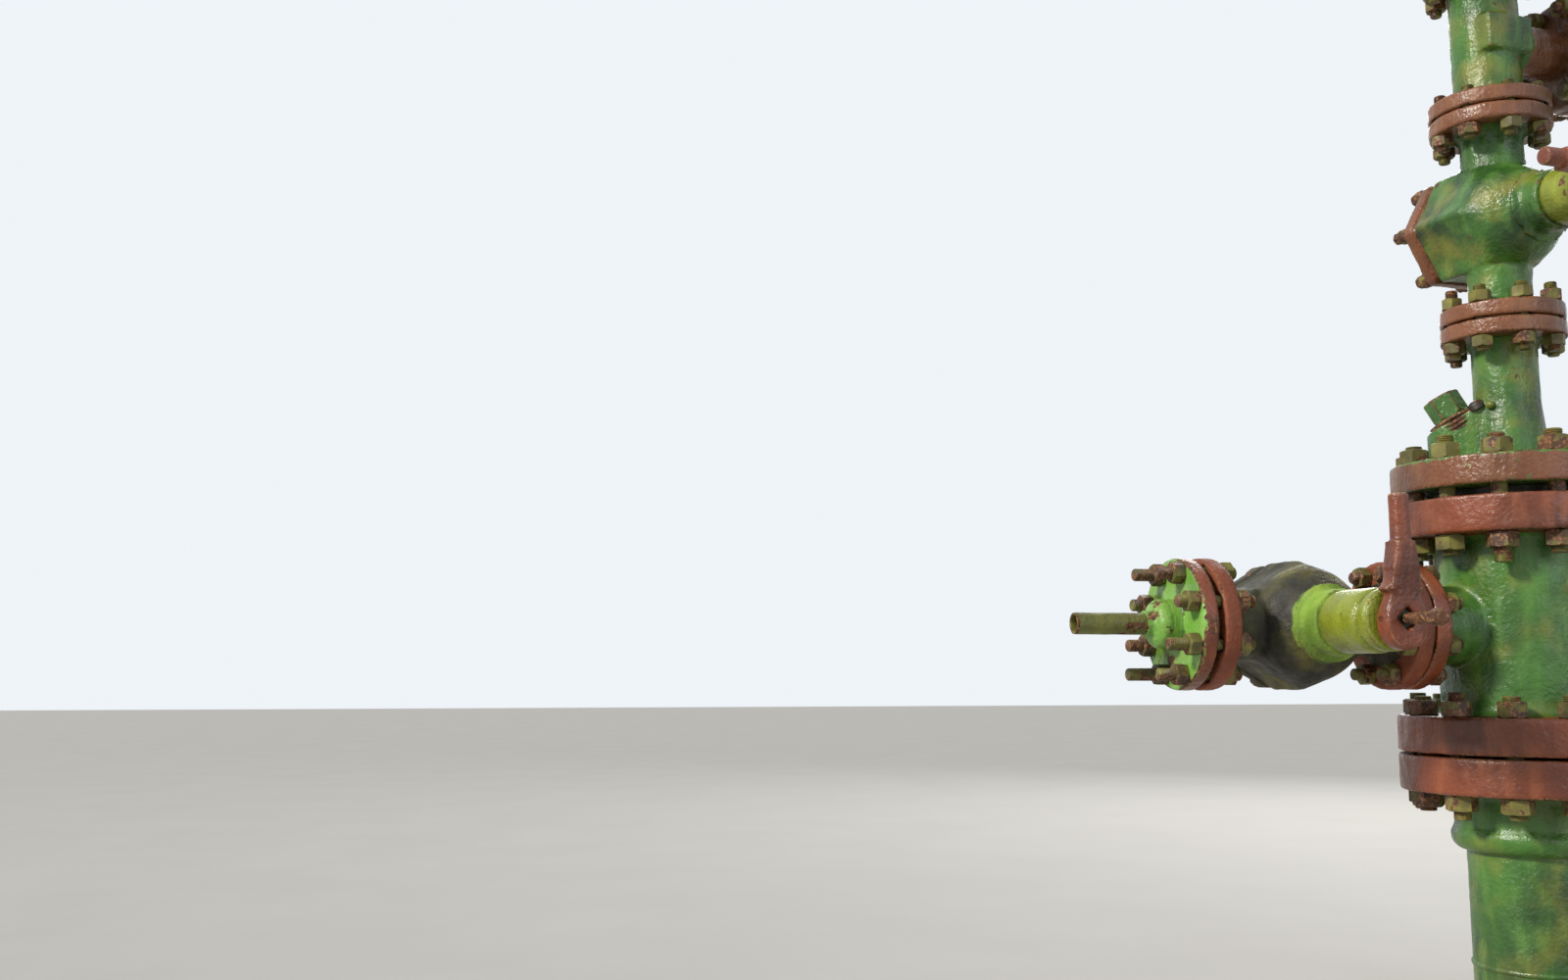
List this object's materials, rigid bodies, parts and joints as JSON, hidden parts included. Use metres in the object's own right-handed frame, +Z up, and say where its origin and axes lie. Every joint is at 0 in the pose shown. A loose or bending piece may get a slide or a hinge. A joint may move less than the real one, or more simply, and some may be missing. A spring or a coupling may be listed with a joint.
{
  "type": "oil wellhead valve stack",
  "caption": "Oil wellhead on its casing: tubing head with valved side outlets and a tree of flanged lever plug valves with a wing outlet.",
  "frame": {"origin": "centre of the casing pipe's foot, at ground level", "axes": "+Z up along the well, the left side outlet along -X, the side valves' stems along -Y"},
  "size_m": [1.518, 0.5462, 2.411],
  "materials": {
    "green_paint": "thick brushed enamel, chipped",
    "oxide_paint": "worn oxide red primer",
    "olive_paint": "grimy yellow-green enamel",
    "dirty_olive": "oily dirt over dark paint",
    "rusty_steel": "rusted",
    "bare_steel": "dull"
  },
  "bodies": {
    "root": {"casing_pipe": "green_paint", "casing_head": "green_paint", "lower_seal_ring": "bare_steel", "tubing_head": "green_paint", "upper_seal_ring": "bare_steel", "tree_adapter": "green_paint", "port_plug": "rusty_steel", "tree_tee": "green_paint", "top_flange": "green_paint", "gauge_pipe": "rusty_steel", "gaskets": "bare_steel", "left_blind_flange": "green_paint", "left_nipple": "olive_paint", "right_blind_flange": "green_paint", "right_nipple": "olive_paint", "left_valve_body": "dirty_olive", "left_valve_cover": "rusty_steel", "left_stem_housing": "olive_paint", "right_valve_body": "green_paint", "right_valve_cover": "rusty_steel", "right_stem_housing": "olive_paint", "right_plug": "bare_steel", "right_lever": "oxide_paint", "right_grease_screw": "rusty_steel", "master_valve_body": "green_paint", "master_valve_cover": "rusty_steel", "master_stem_housing": "olive_paint", "wing_valve_body": "green_paint", "wing_valve_cover": "rusty_steel", "wing_stem_housing": "olive_paint", "wing_plug": "bare_steel", "wing_lever": "oxide_paint", "wing_grease_screw": "rusty_steel", "upper_valve_body": "green_paint", "upper_valve_cover": "rusty_steel", "upper_stem_housing": "olive_paint", "upper_plug": "bare_steel", "upper_lever": "oxide_paint", "upper_grease_screw": "rusty_steel"},
    "left_handle": {"left_plug": "bare_steel", "left_lever": "oxide_paint", "left_grease_screw": "rusty_steel"},
    "master_handle": {"master_plug": "bare_steel", "master_lever": "oxide_paint", "master_grease_screw": "rusty_steel"}
  },
  "joints": [
    {"name": "left_valve_turn", "type": "hinge", "parent": "root", "child": "left_handle", "pos_m": [-0.393, -0.26, 0.598], "axis": [0, -1, 0], "range_deg": [0, 90]},
    {"name": "master_valve_turn", "type": "hinge", "parent": "root", "child": "master_handle", "pos_m": [0.03169, -0.25806, 1.263], "axis": [0.1219, -0.9925, 0], "range_deg": [0, 90]}
  ]
}
